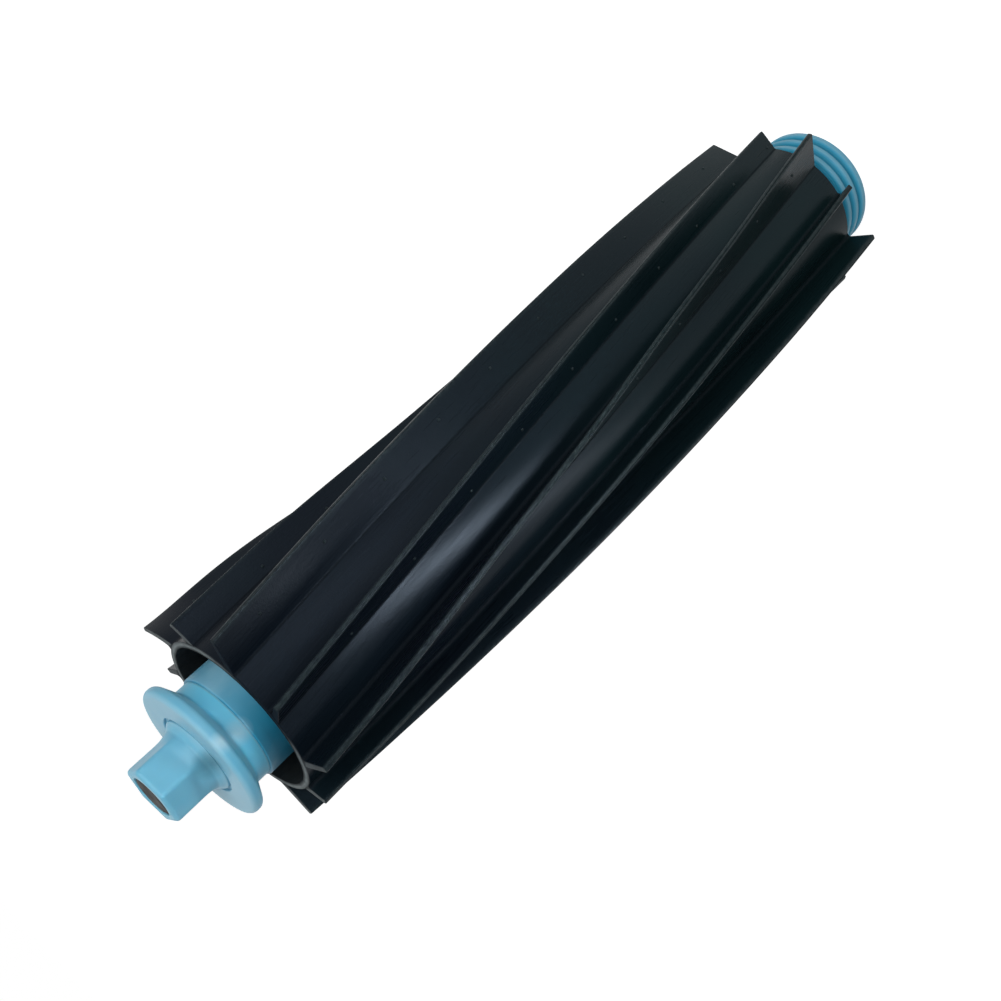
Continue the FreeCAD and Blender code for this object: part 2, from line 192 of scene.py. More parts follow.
class Finishes(PropertyGroup):
    """Colours and gloss of the four materials."""

    rubber_blue: colour("Rubber, blue black", "Tone of most of the rubber", (0.0026, 0.0046, 0.0078))
    rubber_green: colour("Rubber, green black", "Tone towards the idle end", (0.0038, 0.0122, 0.0138))
    rubber_worn: colour("Rubber, worn", "Tips of the blades", (0.020, 0.029, 0.030))
    rubber_cut: colour("Rubber, cut", "Middle of the cut ends", (0.24, 0.265, 0.265))
    # Painted shade: the feet of the blades and the bore are darkened where shade falls.
    rubber_crease_shade: colour("Rubber, crease", "Feet of the blades and the bore", (0.0004, 0.0008, 0.0012))
    rubber_sheen: colour("Rubber, sheen", "Tint of the rubber's gloss", (0.64, 0.80, 1.0))
    dust: colour("Dust", "Specks on the rubber", (0.21, 0.23, 0.22))
    # The core's tone is set darker than the drive plug's, partly as painted shade on the collar near the
    # sleeve.
    blue: colour("Plastic", "Tone of the core and the idle plug", (0.020, 0.25, 0.40))
    blue_cap: colour("Plastic, cap", "Tone of the cap", (0.010, 0.33, 0.51))
    # Painted shade between the cap's ribs and painted shadow of the sleeve on the collar.
    blue_painted_shade: colour("Plastic, deep", "Grooves of the cap and the collar's foot", (0.004, 0.10, 0.17))
    blue_light: colour("Plastic, light", "Tone of the drive plug", (0.135, 0.41, 0.56))
    # Pale coat: the plastic's cloudy patches, painted sheen on the flange's face, painted light on the
    # collar's +Y side, and partly wear, a painted highlight on the ribs' crests.
    blue_pale_and_sheen: colour("Plastic, pale", "Rubbed patches of the plastic", (0.25, 0.46, 0.57))
    # Painted light: the neck in the flange's shade is brightened.
    blue_neck_painted_light: colour("Plastic, clean", "Neck behind the flange", (0.125, 0.52, 0.74))
    # Pale spots on the flange rim and the neck, +X side: partly scuffs, partly painted highlights.
    scuff_and_highlight: colour("Scuff", "Pale scuffs on the flange and the neck", (0.42, 0.60, 0.68))
    # Painted shade: a dark spot in the corner at the foot of the drive shaft.
    foot_shade: colour("Grime", "Smudge at the foot of the drive shaft", (0.012, 0.080, 0.112))
    steel: colour("Steel", "Turned steel", (0.36, 0.35, 0.34))
    steel_black: colour("Steel, blackened", "Pin of the drive shaft", (0.034, 0.033, 0.032))
    bronze: colour("Bronze", "Sintered bronze", (0.55, 0.35, 0.15))
    rubber_gloss: share("Rubber gloss", "Specular level of the rubber", 0.09)
    rubber_rough: share("Rubber roughness", "Roughness of clean rubber", 0.22)


class StudioSettings(PropertyGroup):
    """Light of the studio."""

    key: share("Key", "Power of the large low lamp in watts", 0.12)
    fill: share("Fill", "Power of the high lamp in watts", 1.6)
    front: share("Front strip", "Power of the small lamp in front in watts", 0.0115)
    side: share("Side strip", "Power of the small lamp at the side in watts", 0.0022)
    sky: share("Sky", "Strength of the even light", 0.36)
    floor_glow: share("Floor glow", "Part of the floor's white that is even", 0.84)
    floor_pale: share("Floor shade", "Part of the floor's white that the lamps give", 0.56)
    floor_bounce: share("Floor bounce", "Part of the light that the floor gives back to the object", 0.35)


def rounded_path(corners, steps=6):
    """Path through (radius, height, rounding) corners.

    Each corner with a rounding is replaced by the arc that touches the runs before and after it:
    the arc starts at the rounding times the tangent of half the turn before the corner.
    """
    points = np.array([corner[:2] for corner in corners])
    pieces = [points[:1]]
    for i in range(1, len(corners) - 1):
        here = points[i]
        before = here - points[i - 1]
        after = points[i + 1] - here
        before = before / np.hypot(*before)
        after = after / np.hypot(*after)
        bend = math.atan2(before[0] * after[1] - before[1] * after[0], before @ after)
        q = corners[i][2]
        if q <= 0.0:
            pieces.append(here[None])
            continue
        left = np.array([-before[1], before[0]]) * math.copysign(1.0, bend)
        first = here - before * q * math.tan(abs(bend) / 2)
        centre = first + left * q
        turns = np.linspace(0.0, bend, steps)
        spoke = first - centre
        pieces.append(np.stack([centre[0] + spoke[0] * np.cos(turns) - spoke[1] * np.sin(turns),
                                centre[1] + spoke[0] * np.sin(turns) + spoke[1] * np.cos(turns)], axis=1))
    pieces.append(points[-1:])
    return np.concatenate(pieces)


def closed_path(corners, steps=6):
    """Closed path through rounded corners, started in the middle of its last run."""
    last = np.array(corners[-1][:2])
    middle = tuple((last + np.array(corners[0][:2])) / 2) + (0.0,)
    return rounded_path([middle] + list(corners) + [middle], steps)[:-1]


def ring_quads(rows, count, closed):
    """Quads of a grid of rings, outward when the rows run up an outer wall; closed joins last to first."""
    i = np.arange(rows if closed else rows - 1)[:, None]
    j = np.arange(count)[None, :]
    k = (i + 1) % rows
    n = (j + 1) % count
    return np.stack([i * count + j, i * count + n, k * count + n, k * count + j], axis=-1).reshape(-1, 4)


def turned_surface(path, count, radius_at=None):
    """Vertices and faces of a turned form.

    A path point (r, z) at the turn t lies at (r cos t, r sin t, z); radius_at may change r with the
    turn. A path that begins or ends on the axis gets one vertex there and a fan of triangles. A path
    that does neither is a ring section, and its last row joins its first.
    """
    turns = np.linspace(0.0, 2 * np.pi, count, endpoint=False)
    low_pole = path[0, 0] < ON_AXIS
    high_pole = path[-1, 0] < ON_AXIS
    rows = path[int(low_pole):len(path) - int(high_pole)]
    radius = rows[:, :1] * np.ones(count)
    if radius_at is not None:
        radius = radius_at(radius, rows[:, 1:], turns[None, :])
    grid = np.stack([radius * np.cos(turns), radius * np.sin(turns), rows[:, 1:] * np.ones(count)], axis=-1)
    verts = [grid.reshape(-1, 3)]
    faces = [ring_quads(len(rows), count, not (low_pole or high_pole))]
    step = np.arange(count)
    following = (step + 1) % count
    total = len(rows) * count
    if low_pole:
        verts.append(np.array([[0.0, 0.0, path[0, 1]]]))
        faces.append(np.stack([np.full(count, total), following, step], axis=1))
        total += 1
    if high_pole:
        last = (len(rows) - 1) * count
        verts.append(np.array([[0.0, 0.0, path[-1, 1]]]))
        faces.append(np.stack([np.full(count, total), last + step, last + following], axis=1))
    return np.concatenate(verts), faces


def new_mesh(name, verts, faces, sharp_degrees=35.0):
    """Smooth mesh from a vertex array and a list of face arrays, with sharp edges above an angle."""
    loops = np.concatenate([np.asarray(group).ravel() for group in faces])
    sizes = np.concatenate([np.full(len(group), np.shape(group)[1]) for group in faces])
    starts = np.concatenate([[0], np.cumsum(sizes)[:-1]])
    mesh = bpy.data.meshes.new(name)
    mesh.vertices.add(len(verts))
    mesh.vertices.foreach_set("co", np.ascontiguousarray(verts, dtype=np.float32).ravel())
    mesh.loops.add(len(loops))
    mesh.loops.foreach_set("vertex_index", loops.astype(np.int32))
    mesh.polygons.add(len(sizes))
    mesh.polygons.foreach_set("loop_start", starts.astype(np.int32))
    mesh.polygons.foreach_set("use_smooth", np.ones(len(sizes), dtype=bool))
    mesh.update(calc_edges=True)
    mesh.validate()
    mesh.set_sharp_from_angle(angle=math.radians(sharp_degrees))
    return mesh


def add_marks(mesh, marks):
    """Keep named numbers on a mesh, one for each vertex."""
    for name, values in marks.items():
        mark = mesh.attributes.new(name, "FLOAT", "POINT")
        mark.data.foreach_set("value", values.astype(np.float32))


def add_piece(name, mesh, material, body, node):
    """Put a mesh in the scene as a piece that rides on a body and may stand for a CAD node."""
    piece = bpy.data.objects.new(name, mesh)
    bpy.context.scene.collection.objects.link(piece)
    mesh.materials.append(material)
    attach(piece, body)
    if node:
        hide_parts(node)


def add_turned(name, path, around, material, body, node):
    """Turn a path about the axis into a piece, with its number of points around."""
    mesh = new_mesh(name, *turned_surface(path, around))
    add_piece(name, mesh, material, body, node)


class Value:
    """One number in a finish; arithmetic on it adds Math nodes."""

    def __init__(self, finish, socket):
        self.finish = finish
        self.socket = socket

    def math(self, operation, *terms):
        inputs = dict(enumerate(terms))
        made = self.finish.node("ShaderNodeMath", {"operation": operation}, inputs)
        return Value(self.finish, made.outputs[0])

    def __add__(self, other):
        return self.math("ADD", self, other)

    __radd__ = __add__

    def __sub__(self, other):
        return self.math("SUBTRACT", self, other)

    def __rsub__(self, other):
        return self.math("SUBTRACT", other, self)

    def __mul__(self, other):
        return self.math("MULTIPLY", self, other)

    __rmul__ = __mul__

    def __truediv__(self, other):
        return self.math("DIVIDE", self, other)

    def __rtruediv__(self, other):
        return self.math("DIVIDE", other, self)

    def __pow__(self, other):
        return self.math("POWER", self, other)


class Finish:
    """A node tree with one method that adds any node, and the few patterns used here."""

    def __init__(self, tree):
        self.tree = tree
        self.tree.nodes.clear()

    def node(self, kind, settings, inputs):
        """Add a node: its settings first, then the values or links of its sockets."""
        made = self.tree.nodes.new(kind)
        for name, value in settings.items():
            setattr(made, name, value)
        for key, value in inputs.items():
            if isinstance(value, Value):
                value = value.socket
            if isinstance(value, bpy.types.NodeSocket):
                self.tree.links.new(value, made.inputs[key])
            else:
                made.inputs[key].default_value = value
        return made

    def place(self):
        """Object coordinates."""
        return self.node("ShaderNodeTexCoord", {}, {}).outputs["Object"]

    def scaled(self, vector, factors):
        """A vector with each part multiplied."""
        made = self.node("ShaderNodeVectorMath", {"operation": "MULTIPLY"}, {0: vector, 1: factors})
        return made.outputs[0]

    def parts(self, vector):
        """The three parts of a vector."""
        made = self.node("ShaderNodeSeparateXYZ", {}, {0: vector})
        return [Value(self, socket) for socket in made.outputs]

    def noise(self, vector, scale, detail=2.0):
        """Noise stretched to run from 0 to 1."""
        made = self.node("ShaderNodeTexNoise", {}, {"Vector": vector, "Scale": scale, "Detail": detail})
        return self.span(Value(self, made.outputs[0]), 0.3, 0.7)

    def span(self, value, low, high):
        """0 below low, 1 above high and straight between."""
        made = self.node("ShaderNodeMapRange", {}, {0: value, 1: low, 2: high})
        return Value(self, made.outputs[0])

    def mark(self, name):
        """A number kept on the mesh."""
        made = self.node("ShaderNodeAttribute", {"attribute_name": name}, {})
        return Value(self, made.outputs["Fac"])

    def layers(self, base, *coats):
        """A base colour with coats over it in order, each a factor and a colour."""
        blend = opaque(base)
        for factor, coat in coats:
            inputs = {0: factor, 6: blend, 7: opaque(coat)}
            blend = self.node("ShaderNodeMix", {"data_type": "RGBA"}, inputs).outputs[2]
        return blend

    def specks(self, vector, scale, radius, keep):
        """Round specks of mixed size: near a Voronoi cell's point, in the share of cells that keep gives."""
        made = self.node("ShaderNodeTexVoronoi", {}, {"Vector": vector, "Scale": scale})
        chance, size, _ = self.parts(made.outputs["Color"])
        near = 1 - self.span(Value(self, made.outputs["Distance"]) / (size + 0.25), radius * 0.6, radius)
        return near * self.span(chance, 1.0 - keep, 1.0 - keep + 0.002)

    def spot(self, vector, centre, radius):
        """Soft round spot: 1 near a centre and 0 beyond a radius."""
        made = self.node("ShaderNodeVectorMath", {"operation": "DISTANCE"}, {0: vector, 1: centre})
        return 1 - self.span(Value(self, made.outputs["Value"]), 0.2 * radius, radius)

    def bump(self, height, strength, depth):
        """Normal bent by a height."""
        inputs = {"Strength": strength, "Distance": depth, "Height": height}
        return self.node("ShaderNodeBump", {}, inputs).outputs[0]

    def surface(self, inputs):
        """Principled surface as the material's output."""
        shader = self.node("ShaderNodeBsdfPrincipled", {}, inputs)
        self.node("ShaderNodeOutputMaterial", {}, {0: shader.outputs[0]})


def opaque(rgb):
    """A colour with full alpha."""
    return tuple(rgb) + (1.0,)


def new_material(name):
    """Empty material and its finish."""
    material = bpy.data.materials.new(name)
    material.use_nodes = True
    return material, Finish(material.node_tree)


# Bands of the patterns in metres: where a mark starts and where it is full.
FAR_HEIGHT = (0.11, 0.03)
CUT_BARE_X = (0.0135, 0.0085)
CUT_PALE_Y = (-0.006, -0.012)
COLLAR_LOW = (SLEEVE_HIGH.z - 0.012, SLEEVE_HIGH.z - 0.011)
COLLAR_HIGH = (CORE_HIGH.z, CORE_HIGH.z - 0.0002)
# Painted shadow of the sleeve on the collar, near the sleeve's end.
COLLAR_SHADOW_HEIGHT = (SLEEVE_HIGH.z + 0.0042, SLEEVE_HIGH.z + 0.0005)
# Painted light: the collar is paler on its +Y side.
COLLAR_LIT_Y = (-0.002, 0.006)
# Painted shadow of the sleeve on the collar's -Y side.
COLLAR_SHADOW_Y = (0.003, -0.004)
# Painted light: the neck behind the flange is brightened.
NECK_LOW = (CORE_HIGH.z + 0.0001, CORE_HIGH.z + 0.0003)
NECK_HIGH = (CORE_HIGH.z + 0.0036, CORE_HIGH.z + 0.0022)
NECK_RADIUS = (0.0098, 0.0090)
# Painted sheen: the flange's face is paler.
FACE_SHEEN_HEIGHT = (0.1668, 0.1676)
FACE_SHEEN_RADIUS = (0.0058, 0.0066)
RIM_HEIGHT = (0.1674, 0.1668)
RIM_RADIUS = (0.0108, 0.0114)
RIB_HEIGHT = (0.0085, 0.0075)
# Painted highlight, partly wear, on the ribs' crests, and a paler line along them.
RIB_CREST_HIGHLIGHT = (0.0121, 0.0125)
RIB_WORN_HIGHLIGHT = (0.01245, 0.01258)
# Painted shade between the cap's ribs.
RIB_GROOVE = (0.0122, 0.0118)
RIB_FLOOR = (0.0110, 0.0114)
# Spots on the drive plug in metres, the middle of each and its radius: a dark spot of painted shade in the
# corner at the shaft's foot, and pale spots that are partly scuffs and partly painted highlights.
FOOT_SHADE_SPOT = ((0.0057, -0.0018, 0.1684), 0.0027)
RIM_SCUFF_HIGHLIGHT = ((0.0117, -0.0001, 0.1665), 0.0018)
NECK_SCUFF_HIGHLIGHT = ((0.0088, -0.0008, 0.1630), 0.0023)
# Share of a blade's height at which its worn tip starts and is full.
WORN_TIP = (0.86, 1.0)


def rubber_finish(look):
    """Satin rubber, blue black and towards the idle end green black.

    It has streaks along the blades, rough pale tips and a little dust. The cut ends are pale and mottled,
    and the feet of the blades and the bore are darkest, a painted shade.
    """
    material, f = new_material("satin_rubber")
    place = f.place()
    x, y, height = f.parts(place)
    along = f.node("ShaderNodeUVMap", {"uv_map": "blade_run"}, {}).outputs[0]
    cut = f.mark("cut_end")
    crease = f.mark("crease")

    tone = f.noise(place, scale=32.0)
    streak = f.noise(f.scaled(along, (1.0, 0.05, 1.0)), scale=1600.0, detail=3.0)
    grain = f.noise(place, scale=3800.0, detail=3.0)
    wear = f.noise(f.scaled(along, (1.0, 0.5, 1.0)), scale=1800.0, detail=3.0)
    dust = f.specks(place, scale=120.0, radius=0.035, keep=0.10)
    far = f.span(height, *FAR_HEIGHT)
    green = f.span(far * 0.8 + tone * 0.4, 0.1, 1.0)
    rubbed = f.span(f.mark("tip"), *WORN_TIP) ** 1.5 * (0.15 + 0.85 * wear) * (0.8 + 0.7 * far)
    mottle = f.noise(place, scale=700.0, detail=3.0) * 0.35 + f.noise(place, scale=70.0) * 0.75
    mottle = mottle * f.span(x, *CUT_BARE_X) + 0.4 * f.span(y, *CUT_PALE_Y)
    sawn = f.span(cut, 0.02, 0.12)
    rough = look.rubber_rough + 0.08 * tone + 0.06 * streak + 0.15 * rubbed + 0.2 * dust
    relief = grain * 0.35 + streak * 0.2 + rubbed * wear * 1.5
    f.surface({
        "Base Color": f.layers(
            look.rubber_blue,
            (green, look.rubber_green),
            (rubbed, look.rubber_worn),
            (f.span(cut * mottle, 0.0, 0.9), look.rubber_cut),
            # Painted shade in the creases at the blades' feet and in the bore.
            (crease * 0.7, look.rubber_crease_shade),
            (dust, look.dust),
        ),
        "Roughness": rough + 0.5 * sawn + 0.4 * crease,
        "Normal": f.bump(relief, strength=0.5, depth=0.00005),
        "Specular IOR Level": look.rubber_gloss,
        "Specular Tint": opaque(look.rubber_sheen),
    })
    return material


def plastic_finish(look, name, tone, depth, cloudy, gloss):
    """Satin moulding: cloudy blue that lets light in to a depth.

    It has a painted sheen on the flange's face, painted light on the collar's +Y side and, partly wear, a
    painted highlight on the ribs' crests; the neck in the flange's shade is brightened as painted light.
    Painted shade lies between the ribs and painted shadow where the collar comes out of the sleeve. The
    drive plug has pale spots, partly scuffs and partly painted highlights, and a dark spot of painted shade
    at the shaft's foot.
    """
    material, f = new_material(name)
    place = f.place()
    x, y, height = f.parts(place)
    radius = (x * x + y * y) ** 0.5
    cloud = f.noise(place, scale=90.0, detail=3.0)
    rubbed = f.noise(f.scaled(place, (1.0, 1.0, 0.6)), scale=260.0, detail=4.0)
    grain = f.noise(place, scale=3200.0)

    # Painted sheen on the flange's face.
    face = f.span(height, *FACE_SHEEN_HEIGHT) * f.span(radius, *FACE_SHEEN_RADIUS)
    rim = f.span(height, *RIM_HEIGHT) * f.span(radius, *RIM_RADIUS)
    # Painted light on the neck in the flange's shade.
    neck = f.span(height, *NECK_LOW) * f.span(height, *NECK_HIGH) * f.span(radius, *NECK_RADIUS)
    collar = f.span(height, *COLLAR_LOW) * f.span(height, *COLLAR_HIGH)
    # Painted light on the collar's +Y side.
    clean = collar * f.span(y, *COLLAR_LIT_Y)
    # Painted shadow of the sleeve where the collar comes out, on its -Y side.
    foot = collar * f.span(height, *COLLAR_SHADOW_HEIGHT) * f.span(y, *COLLAR_SHADOW_Y)
    ribbed = f.span(height, *RIB_HEIGHT)
    # Painted shade between the ribs.
    groove = ribbed * f.span(radius, *RIB_GROOVE) * f.span(radius, *RIB_FLOOR)
    patches = f.span(cloud * 0.75 + rubbed * 0.25, 0.4, 0.9)
    # Pale spots, partly scuffs and partly painted highlights.
    scuffs_and_highlights = f.spot(place, *RIM_SCUFF_HIGHLIGHT) + f.spot(place, *NECK_SCUFF_HIGHLIGHT)
    f.surface({
        "Base Color": f.layers(
            tone,
            # Painted sheen on the flange's face and painted light on the collar's +Y side; the cloudy
            # patches are the plastic's own tone.
            (face * 0.6 + clean * 0.35 + cloudy * patches, look.blue_pale_and_sheen),
            (rim * 0.3, look.blue),
            # Painted light brightening the neck in the flange's shade.
            (neck, look.blue_neck_painted_light),
            # Pale spots on the rim and neck: partly scuffs, partly painted highlights.
            (scuffs_and_highlights * (0.55 + 0.45 * rubbed) * 0.75, look.scuff_and_highlight),
            # Painted shade in the corner at the shaft's foot, on its -Y side.
            (f.spot(place, *FOOT_SHADE_SPOT) * (0.5 + 0.5 * rubbed), look.foot_shade),
            # Painted highlight on the ribs' crests, partly wear, and a paler line on them.
            (ribbed * f.span(radius, *RIB_CREST_HIGHLIGHT) * 0.7, look.blue_light),
            (ribbed * f.span(radius, *RIB_WORN_HIGHLIGHT) * 0.35, look.blue_pale_and_sheen),
            # Painted shade between the ribs, and painted shadow of the sleeve on the collar's -Y side.
            (groove * 0.5 + foot * (0.7 + 0.3 * cloud), look.blue_painted_shade),
        ),
        "Roughness": 0.34 + 0.1 * cloud + 0.08 * rubbed,
        "Normal": f.bump(grain * 0.4 + rubbed * 0.3, strength=0.2, depth=0.00004),
        "Specular IOR Level": gloss,
        "Subsurface Weight": 0.4,
        "Subsurface Radius": (0.5, 0.8, 1.0),
        "Subsurface Scale": depth,
    })
    return material


def darker(tone, part):
    """A colour with each of its parts multiplied."""
    return [part * value for value in tone]


def steel_finish(name, tone, metal, rough, gloss):
    """Turned steel, bare or under a dull oxide: fine rings about the axis and darker stains."""
    material, f = new_material(name)
    place = f.place()
    x, y, _ = f.parts(place)
    radius = (x * x + y * y) ** 0.5
    rings = f.noise(f.node("ShaderNodeCombineXYZ", {}, {0: radius}).outputs[0], scale=5200.0)
    stain = f.noise(place, scale=420.0, detail=4.0)
    f.surface({
        "Base Color": f.layers(tone, (stain, darker(tone, 0.4))),
        "Metallic": metal,
        "Specular IOR Level": gloss,
        "Roughness": rough + 0.16 * stain + 0.06 * rings,
        "Normal": f.bump(rings, strength=0.25, depth=0.00003),
    })
    return material


def bronze_finish(look):
    """Sintered bronze: oily pores."""
    material, f = new_material("sintered_bronze")
    place = f.place()
    pores = f.noise(place, scale=2400.0, detail=3.0)
    patch = f.noise(place, scale=300.0, detail=3.0)
    f.surface({
        "Base Color": f.layers(look.bronze, (pores * 0.6 + patch * 0.3, darker(look.bronze, 0.6))),
        "Metallic": 1.0,
        "Roughness": 0.36 + 0.2 * pores,
        "Normal": f.bump(pores, strength=0.3, depth=0.00005),
    })
    return material


# Tip of a blade from its leading to its trailing corner: place across the half thickness, height in
# corner radii and share of the notch.
TIP_ACROSS = np.array([-1.0, -0.97, -0.9, -0.78, -0.62, -0.52, -0.45, -0.25, -0.17, -0.05,
                       0.18, 0.44, 0.68, 0.84, 0.95, 1.0])
TIP_HEIGHT = np.array([-1.0, -0.6, -0.28, -0.06, 0.0, -0.02, 0.0, 0.0, -0.02, 0.0,
                       0.0, 0.0, -0.09, -0.3, -0.62, -1.0])
TIP_NOTCH = np.array([0.0, 0.0, 0.0, 0.0, 0.0, 0.1, 1.0, 1.0, 0.1, 0.0, 0.0, 0.0, 0.0, 0.0, 0.0, 0.0])
FILLET_STEPS = 6
FLANK_STEPS = 7
ROOT_STEPS = 9
# Bends of single blades: blade, then in millimetres the place along it from the drive end, the run, and
# the sideways and outward shift of the tip.
BENDS = (
    (1, 0.0, 16.0, 0.9, 0.1),
    (1, 20.0, 12.0, -0.1, 0.15),
    (1, 52.0, 20.0, 0.0, -0.5),
    (2, 0.0, 9.0, 1.7, 0.7),
    (2, 20.0, 14.0, -0.5, 0.1),
)
SLEEVE_ROWS = 130
BORE_ROWS = 26
# Paleness of a cut end at its edges, where its middle is 1.
CUT_EDGE_TONE = 0.5
# The notch of the tips starts clear of both ends and fades in. Between two heights above the sleeve's
# foot, in metres, its depth goes from the first share to the second.
NOTCH_CLEAR = 0.6 * MM
NOTCH_FADE = 1.5 * MM
NOTCH_HEIGHTS = (0.05, 0.1)
NOTCH_DEPTHS = (1.0, 0.25)
# Slow sines of the tips' wander, and their waves along the roller.
WANDER_SEED = 11
WANDER_SINES = 3
WANDER_WAVES = (0.6, 3.4)
# Nubs: how far each may lie from its place along and across a blade.
NUB_SEED = 5
NUB_ALONG = 0.4 * MM
NUB_ACROSS = 0.2 * MM
NUB_AROUND = 8
NUB_ROWS = 4
NUB_SHARP = 80.0


class BladeSection:
    """One blade in the sleeve's cross-section, with its root at turn 0, as complex numbers.

    The blade is straight and leans from the radius; it tapers from root to tip, an arc joins each
    flank to the sleeve, and the tip has rounded corners with a fine notch.
    """

    def __init__(self, sizes, tip_r):
        root_r = sizes.bore_r + sizes.wall
        self.out = np.exp(1j * sizes.lean)
        self.side = 1j * self.out
        half = root_r * math.cos(sizes.lean)
        self.reach = math.sqrt(half * half + tip_r * tip_r - root_r * root_r) - half
        self.tip = root_r + self.out * self.reach
        lead, self.run, self.face = self.flank(sizes, root_r, -1)
        trail, _, _ = self.flank(sizes, root_r, 1)
        across = self.side * TIP_ACROSS * sizes.tip_t / 2
        ends = self.tip + across + self.out * TIP_HEIGHT * sizes.tip_round
        self.points = np.concatenate([lead, ends, trail[::-1]])
        blank = np.zeros(len(lead))
        self.notch = -self.out * sizes.notch * np.concatenate([blank, TIP_NOTCH, blank])
        climb = np.real((self.points - root_r) * np.conj(self.out)) / self.reach
        self.tip_share = np.clip(climb, 0.0, 1.0)
        arc = np.sin(np.linspace(0.0, np.pi, FILLET_STEPS))
        fillet = np.concatenate([arc, np.zeros(len(lead) - FILLET_STEPS)])
        self.crease = np.concatenate([fillet, np.zeros(len(ends)), fillet[::-1]])
        self.foot = root_r - self.side * sizes.root_t / 2

    def flank(self, sizes, root_r, sign):
        """Fillet and flank of one side, from the sleeve to where the tip's corner starts."""
        q = sizes.fillet
        foot = root_r + self.side * sign * sizes.root_t / 2
        end = self.tip + self.side * sign * sizes.tip_t / 2
        run = (end - foot) / abs(end - foot)
        face = 1j * run * sign
        base = foot + face * q
        b = (base * np.conj(run)).real
        c = abs(base) ** 2 - (root_r + q) ** 2
        centre = base + run * (math.sqrt(b * b - c) - b)
        spoke = centre * (root_r / (root_r + q)) - centre
        sweep = np.angle(-face * q / spoke)
        fillet = centre + spoke * np.exp(1j * sweep * np.linspace(0.0, 1.0, FILLET_STEPS))
        stop = end - run * sizes.tip_round
        straight = fillet[-1] + (stop - fillet[-1]) * np.linspace(0.0, 1.0, FLANK_STEPS + 1)[1:-1]
        return np.concatenate([fillet, straight]), run, face


def blade_turn(sizes, height):
    """Turn of the first blade's root at a height: the start, and the part of the twist that lies above."""
    return sizes.start + sizes.twist * (SLEEVE_HIGH.z - height) / (SLEEVE_HIGH.z - SLEEVE_LOW.z)


def with_height(grid, height):
    """Points from rows of complex places across the axis and the height of each row."""
    return np.stack([grid.real, grid.imag, np.repeat(height[:, None], grid.shape[1], axis=1)], axis=-1)


def wander(height, count):
    """Smooth sideways wander of each blade along the roller: the mean of a few slow sines."""
    rng = np.random.default_rng(WANDER_SEED)
    waves = rng.uniform(*WANDER_WAVES, (WANDER_SINES, count, 1))
    phases = rng.uniform(0.0, 2 * np.pi, (WANDER_SINES, count, 1))
    span = (height - height[0]) / (height[-1] - height[0])
    return np.sin(2 * np.pi * waves * span + phases).mean(axis=0)


def blade_bend(distance):
    """Shift of each blade's tip at distances from the drive end: outward real, sideways imaginary.

    It is a sum of bumps, each the shift times exp(-(distance from the bump's middle / its run) squared).
    """
    shift = np.zeros(distance.shape, dtype=complex)
    for blade, place, run, side, out in BENDS:
        shift[blade] += (out + 1j * side) * MM * np.exp(-((distance[blade] / MM - place) / run) ** 2)
    return shift


def sleeve_outline(sizes):
    """Outside of the sleeve at turn 0: for each blade its points, then the arc to the next blade.

    Gives as (blade, point) arrays the points, their notch, the blades' directions, the tip shares and the
    creases, then the number of points that are the blade's own.
    """
    count = 2 * sizes.pairs
    root_r = sizes.bore_r + sizes.wall
    tall = BladeSection(sizes, sizes.tall_r)
    short = BladeSection(sizes, sizes.short_r)
    spin = np.exp(2j * np.pi * np.arange(count) / count)[:, None]
    odd = (np.arange(count) % 2 == 1)[:, None]
    blades = np.where(odd, short.points, tall.points) * spin
    notches = np.where(odd, short.notch, tall.notch) * spin
    shares = np.where(odd, short.tip_share, tall.tip_share)
    first = np.angle(blades[:, -1])
    last = np.angle(np.roll(blades[:, 0], -1))
    gap = np.mod(last - first, 2 * np.pi)[:, None]
    arcs = root_r * np.exp(1j * (first[:, None] + gap * np.linspace(0.0, 1.0, ROOT_STEPS + 2)[1:-1]))
    blank = np.zeros(arcs.shape)
    points = np.concatenate([blades, arcs], axis=1)
    notches = np.concatenate([notches, blank], axis=1)
    shares = np.concatenate([shares, blank], axis=1)
    creases = np.concatenate([np.tile(tall.crease, (count, 1)), blank], axis=1)
    return points, notches, tall.out * spin, shares, creases, blades.shape[1]


